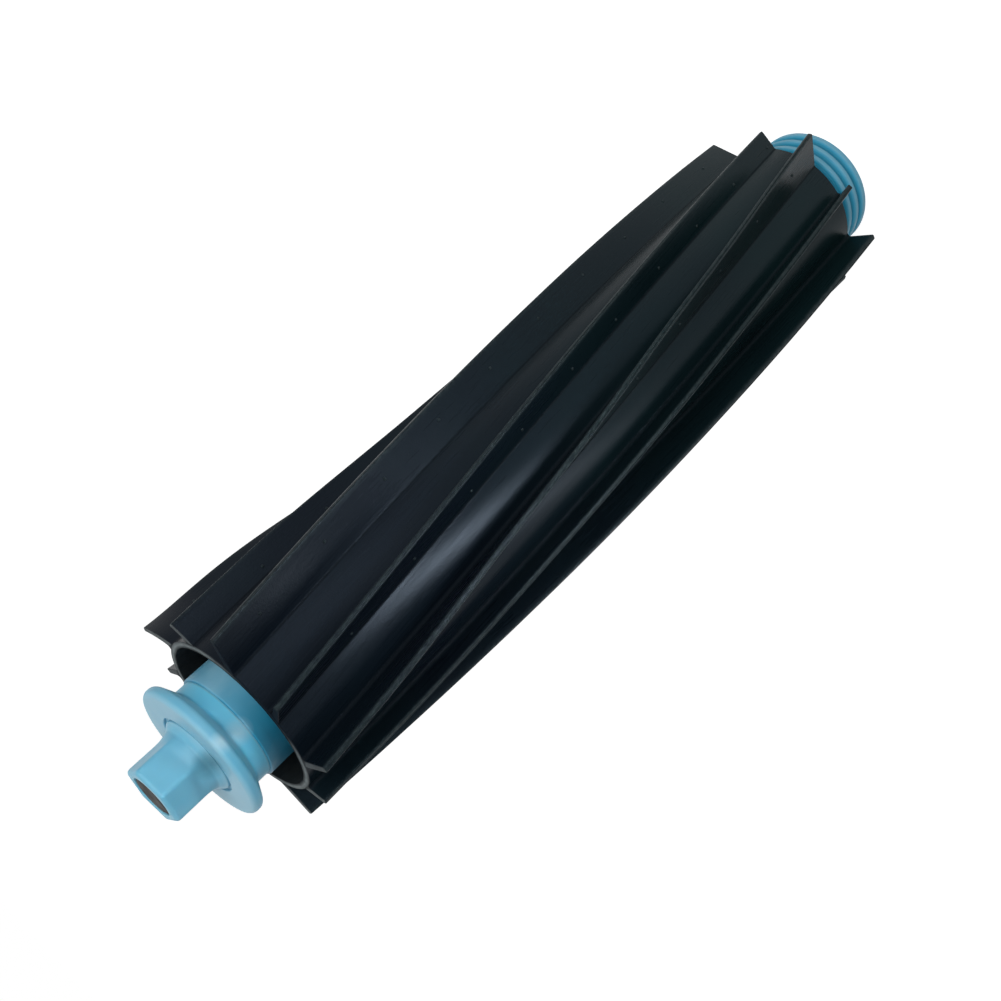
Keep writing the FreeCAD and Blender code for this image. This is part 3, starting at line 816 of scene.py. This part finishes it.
class SleeveLayout:
    """Order of the sleeve's vertices: rows of the outside, rows of the bore, then a ring in each end.

    In a row of the outside, ring picks the points that lie on the sleeve itself, and blade_ends has those
    of each blade.
    """

    def __init__(self, count, per, own, rows):
        first = np.arange(count)[:, None] * per
        self.ring = (first + np.concatenate([[0], np.arange(own - 1, per)])).ravel()
        self.blade_ends = first + np.arange(own)
        self.rows = rows
        self.around = count * per
        self.top = (rows - 1) * self.around
        self.bore = rows * self.around
        self.top_bore = self.bore + (BORE_ROWS - 1) * len(self.ring)
        self.middle = self.bore + BORE_ROWS * len(self.ring)
        self.total = self.middle + 2 * len(self.ring)

    def faces(self):
        """The outside, the bore, the flat ends, and the blades' ends."""
        step = np.arange(len(self.ring))
        following = (step + 1) % len(self.ring)
        bore_wall = self.bore + ring_quads(BORE_ROWS, len(self.ring), False)[:, ::-1]
        faces = [ring_quads(self.rows, self.around, False), bore_wall]
        low = [self.bore + step, self.middle + step, self.ring]
        high = [self.top_bore + step, self.middle + len(self.ring) + step, self.top + self.ring]
        for inner, outer in zip(low[:-1], low[1:]):
            faces.append(np.stack([inner[following], outer[following], outer, inner], axis=1))
        for inner, outer in zip(high[:-1], high[1:]):
            faces.append(np.stack([inner, outer, outer[following], inner[following]], axis=1))
        return faces + [self.blade_ends[:, ::-1], self.top + self.blade_ends]

    def marks(self, shares, creases):
        """Share of the tip, painted shade of the creases and the bore, and paleness of the cut ends."""
        tip, crease, cut_end = np.zeros((3, self.total))
        tip[:self.bore] = np.tile(shares.ravel(), self.rows)
        crease[:self.bore] = np.tile(creases.ravel(), self.rows)
        crease[self.bore:self.middle] = 1.0
        cut_end[:self.around] = CUT_EDGE_TONE
        cut_end[self.top:self.bore + len(self.ring)] = CUT_EDGE_TONE
        cut_end[self.top_bore:self.middle] = CUT_EDGE_TONE
        cut_end[self.middle:] = 1.0
        return {"tip": tip, "crease": crease, "cut_end": cut_end}


def sleeve_outside(sizes, height, points, notches, leaning, shares):
    """Rows of the sleeve's outside: the outline with its notch, bends and wander, turned with the height.

    The first and last rows are drawn in by the cut edge.
    """
    count, per = points.shape
    rise = height - SLEEVE_LOW.z
    drop = SLEEVE_HIGH.z - height
    fade = np.clip((np.minimum(rise, drop) - NOTCH_CLEAR) / NOTCH_FADE, 0.0, 1.0)
    fade = fade * np.interp(rise, NOTCH_HEIGHTS, NOTCH_DEPTHS)
    shift = blade_bend(np.tile(drop, (count, 1))) + 1j * wander(height, count) * sizes.wave
    grid = points[:, None, :] + notches[:, None, :] * fade[None, :, None]
    grid = grid + leaning[:, None] * shift[:, :, None] * shares[:, None, :] ** 2
    grid = grid.transpose(1, 0, 2).reshape(len(height), count * per)
    along = np.roll(grid, -1, axis=1) - np.roll(grid, 1, axis=1)
    outward = -1j * along / np.abs(along)
    grid[[0, -1]] -= outward[[0, -1]] * sizes.cut_edge
    return with_height(grid * np.exp(1j * blade_turn(sizes, height))[:, None], height)


def sleeve_inside(sizes, turns):
    """Rows of the bore, and for each end a ring half-way through the wall."""
    height = np.linspace(SLEEVE_LOW.z, SLEEVE_HIGH.z, BORE_ROWS)
    bore = sizes.bore_r * np.exp(1j * (turns + blade_turn(sizes, height)[:, None]))
    inside = with_height(bore, height)
    outward = 1.0 + sizes.wall / 2 / sizes.bore_r
    return inside, inside[[0, -1]] * (outward, outward, 1.0)


def sleeve_mesh(sizes):
    """Sleeve with its blades: the outline carried up the axis and turned evenly, left-handed.

    Flat ends join the outline to the bore. On the outside the UV map blade_run holds the way round the
    outline and the height.
    """
    points, notches, leaning, shares, creases, own = sleeve_outline(sizes)
    inner = np.linspace(SLEEVE_LOW.z + sizes.cut_edge, SLEEVE_HIGH.z - sizes.cut_edge, SLEEVE_ROWS)
    height = np.concatenate([[SLEEVE_LOW.z], inner, [SLEEVE_HIGH.z]])
    layout = SleeveLayout(*points.shape, own, len(height))
    outside = sleeve_outside(sizes, height, points, notches, leaning, shares)
    flat = points.ravel()
    inside, middle = sleeve_inside(sizes, np.angle(flat[layout.ring]))
    verts = np.concatenate([part.reshape(-1, 3) for part in (outside, inside, middle)])
    faces = layout.faces()
    mesh = new_mesh("rubber_sleeve_blades", verts, faces)
    add_marks(mesh, layout.marks(shares, creases))

    reach = np.concatenate([[0.0], np.cumsum(np.abs(np.roll(flat, -1) - flat))])
    column = np.tile(np.arange(layout.around), layout.rows - 1)
    u = reach[np.stack([column, column + 1, column + 1, column], axis=1)]
    v = height[faces[0] // layout.around]
    rest = verts[np.concatenate([group.ravel() for group in faces[1:]])][:, :2]
    uv = np.concatenate([np.stack([u, v], axis=-1).reshape(-1, 2), rest])
    layer = mesh.uv_layers.new(name="blade_run")
    layer.data.foreach_set("uv", uv.astype(np.float32).ravel())
    return mesh


def nub_mesh(sizes):
    """Small domes on the leading flanks: half-sunk ellipsoids, one array for all.

    A nub's middle is where the flank crosses the nubs' circle, turned with the blade's twist.
    """
    count = 2 * sizes.pairs
    each = int((SLEEVE_HIGH.z - SLEEVE_LOW.z - sizes.nub_short_first) / sizes.nub_pitch) + 1
    rng = np.random.default_rng(NUB_SEED)
    number = np.arange(count)[:, None]
    odd = number % 2 == 1
    first = np.where(odd, sizes.nub_short_first, sizes.nub_tall_first)
    drop = first + sizes.nub_pitch * np.arange(each) + rng.uniform(-NUB_ALONG, NUB_ALONG, (count, each))
    height = SLEEVE_HIGH.z - drop
    ring_r = np.where(odd, sizes.nub_short_r, sizes.nub_tall_r)
    ring_r = ring_r + rng.uniform(-NUB_ACROSS, NUB_ACROSS, (count, each))
    blade = BladeSection(sizes, sizes.tall_r)
    b = (blade.foot * np.conj(blade.run)).real
    climb = np.sqrt(b * b - abs(blade.foot) ** 2 + ring_r ** 2) - b
    spin = np.exp(1j * (2 * np.pi * number / count + blade_turn(sizes, height)))
    bent = blade_bend(drop) * (climb / blade.reach) ** 2
    centre = (blade.foot + blade.run * climb + blade.out * bent) * spin
    face = (blade.face * spin).ravel()
    run = (blade.run * spin).ravel()
    centres = np.stack([centre.real, centre.imag, height], axis=-1).reshape(-1, 3)
    zero = np.zeros(len(face))
    axes = np.stack([np.stack([face.real, face.imag, zero], axis=-1) * sizes.nub_height,
                     np.stack([run.real, run.imag, zero], axis=-1) * sizes.nub_r,
                     np.stack([zero, zero, zero + 1.0], axis=-1) * sizes.nub_r], axis=1)

    rise = np.linspace(-0.5 * np.pi, 0.5 * np.pi, NUB_ROWS + 2)
    ball, faces = turned_surface(np.stack([np.cos(rise), np.sin(rise)], axis=1), NUB_AROUND)
    verts = centres[:, None, :] + np.einsum("vk,nkx->nvx", ball[:, [2, 0, 1]], axes)
    start = np.arange(len(centres))[:, None, None] * len(ball)
    groups = [(group[None] + start).reshape(-1, group.shape[1]) for group in faces]
    mesh = new_mesh("blade_nubs", verts.reshape(-1, 3), groups, NUB_SHARP)
    # Nubs take the worn tips' paler colour: partly dust, partly a painted highlight of the lit nubs.
    add_marks(mesh, {"tip": np.ones(verts.size // 3)})
    return mesh


class ROLLER_OT_rubber_sleeve(Operator):
    """Add the rubber sleeve with its blades and nubs"""

    bl_idname = "roller.rubber_sleeve"
    bl_label = "Rubber sleeve"

    def execute(self, context):
        sizes = context.scene.roller_sleeve
        rubber = rubber_finish(context.scene.roller_finishes)
        add_piece("sleeve_with_blades", sleeve_mesh(sizes), rubber, "roller", "rubber_sleeve")
        add_piece("blade_nubs", nub_mesh(sizes), rubber, "roller", None)
        return {"FINISHED"}


# Roundings of turned edges in metres, from the sharpest to the softest.
KEEN = 0.05 * MM
HAIR = 0.06 * MM
FINE = 0.1 * MM
SLIGHT = 0.15 * MM
CRISP = 0.2 * MM
EASED = 0.3 * MM
SOFT = 0.4 * MM
ROUND = 0.6 * MM
# Points around the turned pieces.
PLUG_AROUND = 240
CAP_AROUND = 220
CORE_AROUND = 200
IDLE_AROUND = 180
SMALL_AROUND = 120
# Drive plug: steps of its arcs, degrees of its sharp edges, rows of the shaft's wall, how far those rows
# stay from both ends of the shaft, and how far from the top the path over the shaft's end starts.
PLUG_STEPS = 8
PLUG_SHARP = 40.0
SHAFT_ROWS = 14
WALL_INSET = 1.2 * MM
END_INSET = 0.9 * MM
# Clip: sections along its arc, and steps of a section's arcs.
CLIP_ROWS = 72
CLIP_STEPS = 3


def plug_radius(sizes, foot, mouth_r):
    """Radius of the drive plug over height and turn.

    On the shaft the turned radius is multiplied by the radius of a soft polygon, which is the power
    mean of the distances to its flats; the polygon fades in above the foot and out at the mouth.
    """
    power = sizes.flats_soft
    middles = sizes.flats_turn + 2 * np.pi * np.arange(sizes.flats) / sizes.flats

    def radius_at(radius, height, turns):
        facing = np.maximum(np.cos(turns[..., None] - middles), 0.0) / sizes.flats_r
        polygon = (facing ** power).sum(axis=-1) ** (-1.0 / power)
        rise = np.clip((height - foot) / sizes.flats_fade, 0.0, 1.0)
        rim = np.clip((radius - mouth_r) / (sizes.shaft_r - sizes.shaft_round - mouth_r), 0.0, 1.0)
        weight = rise * rise * (3.0 - 2.0 * rise) * rim
        return radius * (1.0 - weight + weight * polygon / sizes.shaft_r)

    return radius_at


def drive_plug_mesh(sizes):
    """Drive plug: a turned path with a flared flange, a grooved face and a shaft with soft flats."""
    collar = CORE_HIGH.z
    neck_top = collar + sizes.neck
    face = neck_top + sizes.flare + sizes.flange_t
    foot = face + sizes.shaft_flare
    top = PLUG_HIGH.z
    groove_in = sizes.shaft_r + sizes.shaft_flare
    groove_out = groove_in + sizes.groove_w
    groove_floor = face - sizes.groove_d
    mouth_r = sizes.hole_r + sizes.mouth
    slope = sizes.flare / (sizes.flange_r - sizes.flange_round - sizes.neck_r)
    rim_low = neck_top + slope * (sizes.flange_r - sizes.neck_r)
    lower = rounded_path([
        (0.0, PLUG_LOW.z),
        (sizes.spigot_r, PLUG_LOW.z, EASED),
        (sizes.spigot_r, collar, 0.0),
        (sizes.neck_r, collar, 0.0),
        (sizes.neck_r, neck_top, ROUND),
        (sizes.flange_r, rim_low, sizes.flange_round),
        (sizes.flange_r, face, sizes.flange_round),
        (groove_out, face, CRISP),
        (groove_out, groove_floor, FINE),
        (groove_in, groove_floor, FINE),
        (groove_in, face, CRISP),
        (sizes.shaft_r, foot, sizes.foot_round),
        (sizes.shaft_r, foot + WALL_INSET, 0.0),
    ], PLUG_STEPS)
    wall = np.linspace(foot + WALL_INSET, top - WALL_INSET, SHAFT_ROWS)[1:]
    shaft = np.stack([np.full(len(wall), sizes.shaft_r), wall], axis=1)
    upper = rounded_path([
        (sizes.shaft_r, top - END_INSET),
        (sizes.shaft_r, top, sizes.shaft_round),
        (mouth_r, top, FINE),
        (sizes.hole_r, top - sizes.mouth, HAIR),
        (sizes.hole_r, PIN_LOW.z, 0.0),
        (0.0, PIN_LOW.z),
    ], PLUG_STEPS)
    path = np.concatenate([lower, shaft, upper])
    verts, faces = turned_surface(path, PLUG_AROUND, plug_radius(sizes, foot, mouth_r))
    return new_mesh("drive_plug_moulding", verts, faces, PLUG_SHARP)


def core_path(sizes):
    """Core tube: a wall with a shoulder, a collar with a socket, and a web behind it."""
    bore_r = CORE_HIGH.x - sizes.core_wall
    shoulder = SLEEVE_HIGH.z - sizes.core_inset
    web = shoulder - sizes.core_web
    socket_r = sizes.collar_r - sizes.collar_wall
    socket = CORE_HIGH.z - sizes.spigot - sizes.socket_gap
    return rounded_path([
        (0.0, web),
        (bore_r, web, SOFT),
        (bore_r, CORE_LOW.z, CRISP),
        (CORE_HIGH.x, CORE_LOW.z, CRISP),
        (CORE_HIGH.x, shoulder, ROUND),
        (sizes.collar_r, shoulder, SOFT),
        (sizes.collar_r, CORE_HIGH.z, EASED),
        (socket_r, CORE_HIGH.z, 0.0),
        (socket_r, socket, 0.0),
        (0.0, socket),
    ])


def drive_pin_path(sizes):
    """Drive pin: a plain rod with a rounded edge at its end."""
    return rounded_path([
        (0.0, PIN_LOW.z),
        (PIN_HIGH.x, PIN_LOW.z, CRISP),
        (PIN_HIGH.x, PIN_HIGH.z, sizes.pin_edge),
        (0.0, PIN_HIGH.z),
    ])


class ROLLER_OT_drive_end(Operator):
    """Add the core tube, the drive plug and its steel pin"""

    bl_idname = "roller.drive_end"
    bl_label = "Drive end"

    def execute(self, context):
        sizes = context.scene.roller_drive
        look = context.scene.roller_finishes
        # The core takes the darker tone, partly a painted shade near the sleeve.
        blue = plastic_finish(look, "core_blue_plastic", look.blue, depth=0.0015, cloudy=0.5, gloss=0.3)
        light = plastic_finish(look, "plug_blue_plastic", look.blue_light,
                               depth=0.002, cloudy=0.4, gloss=0.36)
        black = steel_finish("blackened_steel", look.steel_black, metal=0.0, rough=0.5, gloss=0.12)
        core = core_path(sizes)
        plug = drive_plug_mesh(sizes)
        pin = drive_pin_path(sizes)
        add_turned("core_tube_moulding", core, CORE_AROUND, blue, "roller", "core_tube")
        add_piece("drive_plug_moulding", plug, light, "roller", "drive_plug")
        add_turned("drive_pin_turned", pin, SMALL_AROUND, black, "roller", "drive_pin")
        return {"FINISHED"}


def cap_path(sizes):
    """End cap: a section with rounded ribs, a land, a wall inside the sleeve, a hub and a recess."""
    floor_r = sizes.rib_r - sizes.rib_depth
    pocket_r = sizes.insert_r - sizes.wall
    web_top = sizes.recess + sizes.web
    top = CAP_HIGH.z
    corners = [(sizes.rib_r, 0.0, sizes.base_round)]
    for i in range(sizes.ribs):
        middle = sizes.rib_first + i * sizes.rib_pitch
        if i > 0:
            corners.append((floor_r, middle - sizes.rib_foot / 2, EASED))
            corners.append((sizes.rib_r, middle - sizes.rib_crest / 2, sizes.rib_round))
        corners.append((sizes.rib_r, middle + sizes.rib_crest / 2, sizes.rib_round))
        corners.append((floor_r, middle + sizes.rib_foot / 2, EASED))
    corners += [
        (floor_r, sizes.land_low - sizes.land_slope, EASED),
        (sizes.land_r, sizes.land_low, EASED),
        (sizes.land_r, sizes.land_high, CRISP),
        (sizes.insert_r, sizes.land_high, FINE),
        (sizes.insert_r, top, CRISP),
        (pocket_r, top, CRISP),
        (pocket_r, web_top, SOFT),
        (sizes.hub_r, web_top, SOFT),
        (sizes.hub_r, top, CRISP),
        (sizes.bore_r, top, FINE),
        (sizes.bore_r, sizes.recess, FINE),
        (sizes.recess_r, sizes.recess, SOFT),
        (sizes.recess_r, 0.0, SOFT),
    ]
    return closed_path(corners)


def bush_path(sizes):
    """Bush: a section with a flange at its upper end."""
    flange_low = BUSH_HIGH.z - sizes.bush_flange
    return closed_path([
        (sizes.bush_bore_r, BUSH_LOW.z, CRISP),
        (sizes.bush_r, BUSH_LOW.z, CRISP),
        (sizes.bush_r, flange_low, 0.0),
        (BUSH_HIGH.x, flange_low, FINE),
        (BUSH_HIGH.x, BUSH_HIGH.z, SLIGHT),
        (sizes.bush_bore_r, BUSH_HIGH.z, CRISP),
    ])


class ROLLER_OT_end_cap(Operator):
    """Add the ribbed end cap and its bush"""

    bl_idname = "roller.end_cap"
    bl_label = "End cap"

    def execute(self, context):
        sizes = context.scene.roller_idle
        look = context.scene.roller_finishes
        blue = plastic_finish(look, "cap_blue_plastic", look.blue_cap, depth=0.0003, cloudy=0.12, gloss=0.22)
        bronze = bronze_finish(look)
        cap = cap_path(sizes)
        bush = bush_path(sizes)
        add_turned("end_cap_moulding", cap, CAP_AROUND, blue, "cap", "end_cap")
        add_turned("bearing_bush_turned", bush, SMALL_AROUND, bronze, "cap", "bearing_bush")
        return {"FINISHED"}


def idle_plug_path(sizes):
    """Idle plug: a section with a boss, a flange and a spigot."""
    flange_low = IDLE_LOW.z + sizes.boss
    flange_high = flange_low + sizes.flange
    return closed_path([
        (sizes.washer_bore_r, IDLE_LOW.z, FINE),
        (sizes.boss_r, IDLE_LOW.z, CRISP),
        (sizes.boss_r, flange_low, EASED),
        (IDLE_HIGH.x, flange_low, EASED),
        (IDLE_HIGH.x, flange_high, FINE),
        (sizes.spigot_r, flange_high, 0.0),
        (sizes.spigot_r, IDLE_HIGH.z, SOFT),
        (sizes.washer_bore_r, IDLE_HIGH.z, CRISP),
    ])


def axle_path(sizes):
    """Axle pin: a rod with a groove that holds the clip."""
    groove_low = CLIP_LOW.z - sizes.clip_gap
    groove_high = CLIP_HIGH.z + sizes.clip_gap
    return rounded_path([
        (0.0, AXLE_LOW.z),
        (AXLE_HIGH.x, AXLE_LOW.z, SOFT),
        (AXLE_HIGH.x, groove_low, KEEN),
        (sizes.groove_r, groove_low, 0.0),
        (sizes.groove_r, groove_high, 0.0),
        (AXLE_HIGH.x, groove_high, KEEN),
        (AXLE_HIGH.x, AXLE_HIGH.z, SOFT),
        (0.0, AXLE_HIGH.z),
    ])


def ring_path(inner, outer, low, high, edge, steps=6):
    """Rectangular section of a ring, with one rounding for its four edges."""
    corners = [(inner, low, edge), (outer, low, edge), (outer, high, edge), (inner, high, edge)]
    return closed_path(corners, steps)


def clip_mesh(sizes):
    """Spring clip: a ring's section carried round an arc that leaves the mouth open, ends closed."""
    section = ring_path(sizes.clip_bore_r, -CLIP_LOW.x, CLIP_LOW.z, CLIP_HIGH.z, HAIR, CLIP_STEPS)
    opening = np.arcsin(sizes.clip_mouth / 2 / section[:, 0])
    turns = opening + (2 * np.pi - 2 * opening) * np.linspace(0.0, 1.0, CLIP_ROWS)[:, None]
    height = np.repeat(section[None, :, 1], CLIP_ROWS, axis=0)
    grid = np.stack([section[:, 0] * np.cos(turns), section[:, 0] * np.sin(turns), height], axis=-1)
    per = len(section)
    end = np.arange(per)[None, :]
    faces = [ring_quads(CLIP_ROWS, per, False)[:, ::-1], end, (CLIP_ROWS - 1) * per + end[:, ::-1]]
    return new_mesh("retaining_clip_ring", grid.reshape(-1, 3), faces)


class ROLLER_OT_idle_end(Operator):
    """Add the idle plug, the axle pin, the washer and the clip"""

    bl_idname = "roller.idle_end"
    bl_label = "Idle end"

    def execute(self, context):
        sizes = context.scene.roller_idle
        look = context.scene.roller_finishes
        blue = plastic_finish(look, "idle_blue_plastic", look.blue, depth=0.0003, cloudy=0.2, gloss=0.3)
        steel = steel_finish("turned_steel", look.steel, metal=1.0, rough=0.3, gloss=0.5)
        plug = idle_plug_path(sizes)
        axle = axle_path(sizes)
        washer = ring_path(sizes.washer_bore_r, WASHER_HIGH.x, WASHER_LOW.z, WASHER_HIGH.z, FINE)
        add_turned("idle_plug_moulding", plug, IDLE_AROUND, blue, "roller", "idle_plug")
        add_turned("axle_pin_turned", axle, SMALL_AROUND, steel, "roller", "axle_pin")
        add_turned("thrust_washer_turned", washer, SMALL_AROUND, steel, "roller", "thrust_washer")
        add_piece("retaining_clip_ring", clip_mesh(sizes), steel, "roller", "retaining_clip")
        return {"FINISHED"}


WHITE = (1.0, 1.0, 1.0, 1.0)
SKY_TINT = (0.97, 0.99, 1.0, 1.0)
FLOOR_HALF = 6.0
# Lamps: name, setting of the power, place, point it looks at, width and height in metres, spread in degrees.
LAMPS = (
    ("key_softbox", "key", (0.262, 0.184, 0.05), (0.0, 0.0, 0.09), 0.22, 0.09, 180.0),
    ("fill_softbox", "fill", (0.31, 0.12, 0.42), (0.0, 0.0, 0.15), 0.4, 0.4, 180.0),
    ("front_strip", "front", (0.176, -0.062, 0.044), (0.0142, -0.002, 0.119), 0.05, 0.04, 34.0),
    ("side_strip", "side", (0.085, -0.138, 0.02), (0.0127, -0.0066, 0.105), 0.05, 0.05, 34.0),
)
# Camera of the photograph: place in metres, turn in degrees, lens and sensor in millimetres.
CAMERA_PLACE = (0.185216, 0.013597, 0.204449)
CAMERA_TURN = (-51.4187, 39.8368, -57.7831)
CAMERA_LENS = 45.4996
CAMERA_SENSOR = 36.0
CAMERA_NEAR = 0.01


def by_sight(f, lit, seen):
    """One shader for rays that carry light, another for what is looked at.

    The camera, a reflection and a see-through part look.
    """
    path = f.node("ShaderNodeLightPath", {}, {}).outputs
    rays = [Value(f, path[name]) for name in ("Is Camera Ray", "Is Glossy Ray", "Is Transmission Ray")]
    looking = f.span(rays[0] + rays[1] + rays[2], 0.0, 1.0)
    inputs = {0: looking, 1: lit.outputs[0], 2: seen.outputs[0]}
    return f.node("ShaderNodeMixShader", {}, inputs).outputs[0]


def floor_material(studio):
    """White floor: to the eye part of its white is even and the rest is lit, so a soft shadow stays."""
    material, f = new_material("studio_floor")
    lit = f.node("ShaderNodeBsdfDiffuse", {}, {0: opaque([studio.floor_bounce] * 3)})
    pale = f.node("ShaderNodeBsdfDiffuse", {}, {0: opaque([studio.floor_pale] * 3)})
    glow = f.node("ShaderNodeEmission", {}, {0: WHITE, 1: studio.floor_glow})
    white = f.node("ShaderNodeAddShader", {}, {0: pale.outputs[0], 1: glow.outputs[0]})
    f.node("ShaderNodeOutputMaterial", {}, {0: by_sight(f, lit, white)})
    return material


def add_floor(studio):
    """Square floor under the object."""
    verts = FLOOR_HALF * np.array([[-1.0, -1.0, 0.0], [1.0, -1.0, 0.0], [1.0, 1.0, 0.0], [-1.0, 1.0, 0.0]])
    mesh = new_mesh("studio_floor", verts, [np.arange(4)[None, :]])
    mesh.materials.append(floor_material(studio))
    floor = bpy.data.objects.new("studio_floor", mesh)
    bpy.context.scene.collection.objects.link(floor)


def add_lamp(name, watts, place, target, width, height, spread):
    """White rectangular lamp that looks at a point and is not seen itself."""
    data = bpy.data.lights.new(name, "AREA")
    data.shape = "RECTANGLE"
    data.size = width
    data.size_y = height
    data.energy = watts
    data.spread = math.radians(spread)
    lamp = bpy.data.objects.new(name, data)
    lamp.location = place
    aim = np.array(target) - np.array(place)
    tilt = math.acos(-aim[2] / np.linalg.norm(aim))
    lamp.rotation_euler = (tilt, 0.0, math.atan2(aim[1], aim[0]) - math.pi / 2)
    lamp.visible_camera = False
    bpy.context.scene.collection.objects.link(lamp)


def add_sky(studio):
    """Even light from all round, white where it is looked at."""
    world = bpy.data.worlds.new("studio_sky")
    world.use_nodes = True
    f = Finish(world.node_tree)
    soft = f.node("ShaderNodeBackground", {}, {0: SKY_TINT, 1: studio.sky})
    white = f.node("ShaderNodeBackground", {}, {0: WHITE, 1: 1.0})
    f.node("ShaderNodeOutputWorld", {}, {0: by_sight(f, soft, white)})
    bpy.context.scene.world = world


def add_camera():
    """Camera at the photograph's place."""
    data = bpy.data.cameras.new("photo_camera")
    data.lens = CAMERA_LENS
    data.sensor_width = CAMERA_SENSOR
    data.clip_start = CAMERA_NEAR
    camera = bpy.data.objects.new("photo_camera", data)
    camera.location = CAMERA_PLACE
    camera.rotation_euler = [math.radians(part) for part in CAMERA_TURN]
    bpy.context.scene.collection.objects.link(camera)
    bpy.context.scene.camera = camera


class ROLLER_OT_studio(Operator):
    """Add the floor, the lamps, the sky and the camera"""

    bl_idname = "roller.studio"
    bl_label = "Studio"

    def execute(self, context):
        studio = context.scene.roller_studio
        add_floor(studio)
        for name, setting, *rest in LAMPS:
            add_lamp(name, getattr(studio, setting), *rest)
        add_sky(studio)
        add_camera()
        context.scene.view_settings.view_transform = "Standard"
        return {"FINISHED"}


class VIEW3D_PT_roller(Panel):
    """Sidebar panel with every step of the roller"""

    bl_label = "Roller Brush"
    bl_idname = "VIEW3D_PT_roller"
    bl_space_type = "VIEW_3D"
    bl_region_type = "UI"
    bl_category = "Roller"

    def draw(self, context):
        for step in STEPS:
            self.layout.operator(step.bl_idname)


STEPS = (
    ROLLER_OT_rubber_sleeve,
    ROLLER_OT_drive_end,
    ROLLER_OT_idle_end,
    ROLLER_OT_end_cap,
    ROLLER_OT_studio,
)
GROUPS = {
    "roller_sleeve": SleeveSizes,
    "roller_drive": DriveSizes,
    "roller_idle": IdleSizes,
    "roller_finishes": Finishes,
    "roller_studio": StudioSettings,
}


def register():
    for group in GROUPS.values():
        bpy.utils.register_class(group)
    for name, group in GROUPS.items():
        setattr(bpy.types.Scene, name, PointerProperty(type=group))
    for step in STEPS:
        bpy.utils.register_class(step)
    bpy.utils.register_class(VIEW3D_PT_roller)


def unregister():
    bpy.utils.unregister_class(VIEW3D_PT_roller)
    for step in reversed(STEPS):
        bpy.utils.unregister_class(step)
    for name in GROUPS:
        delattr(bpy.types.Scene, name)
    for group in GROUPS.values():
        bpy.utils.unregister_class(group)


def main():
    """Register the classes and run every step."""
    register()
    bpy.ops.roller.rubber_sleeve()
    bpy.ops.roller.drive_end()
    bpy.ops.roller.idle_end()
    bpy.ops.roller.end_cap()
    bpy.ops.roller.studio()


if __name__ == "__main__":
    main()
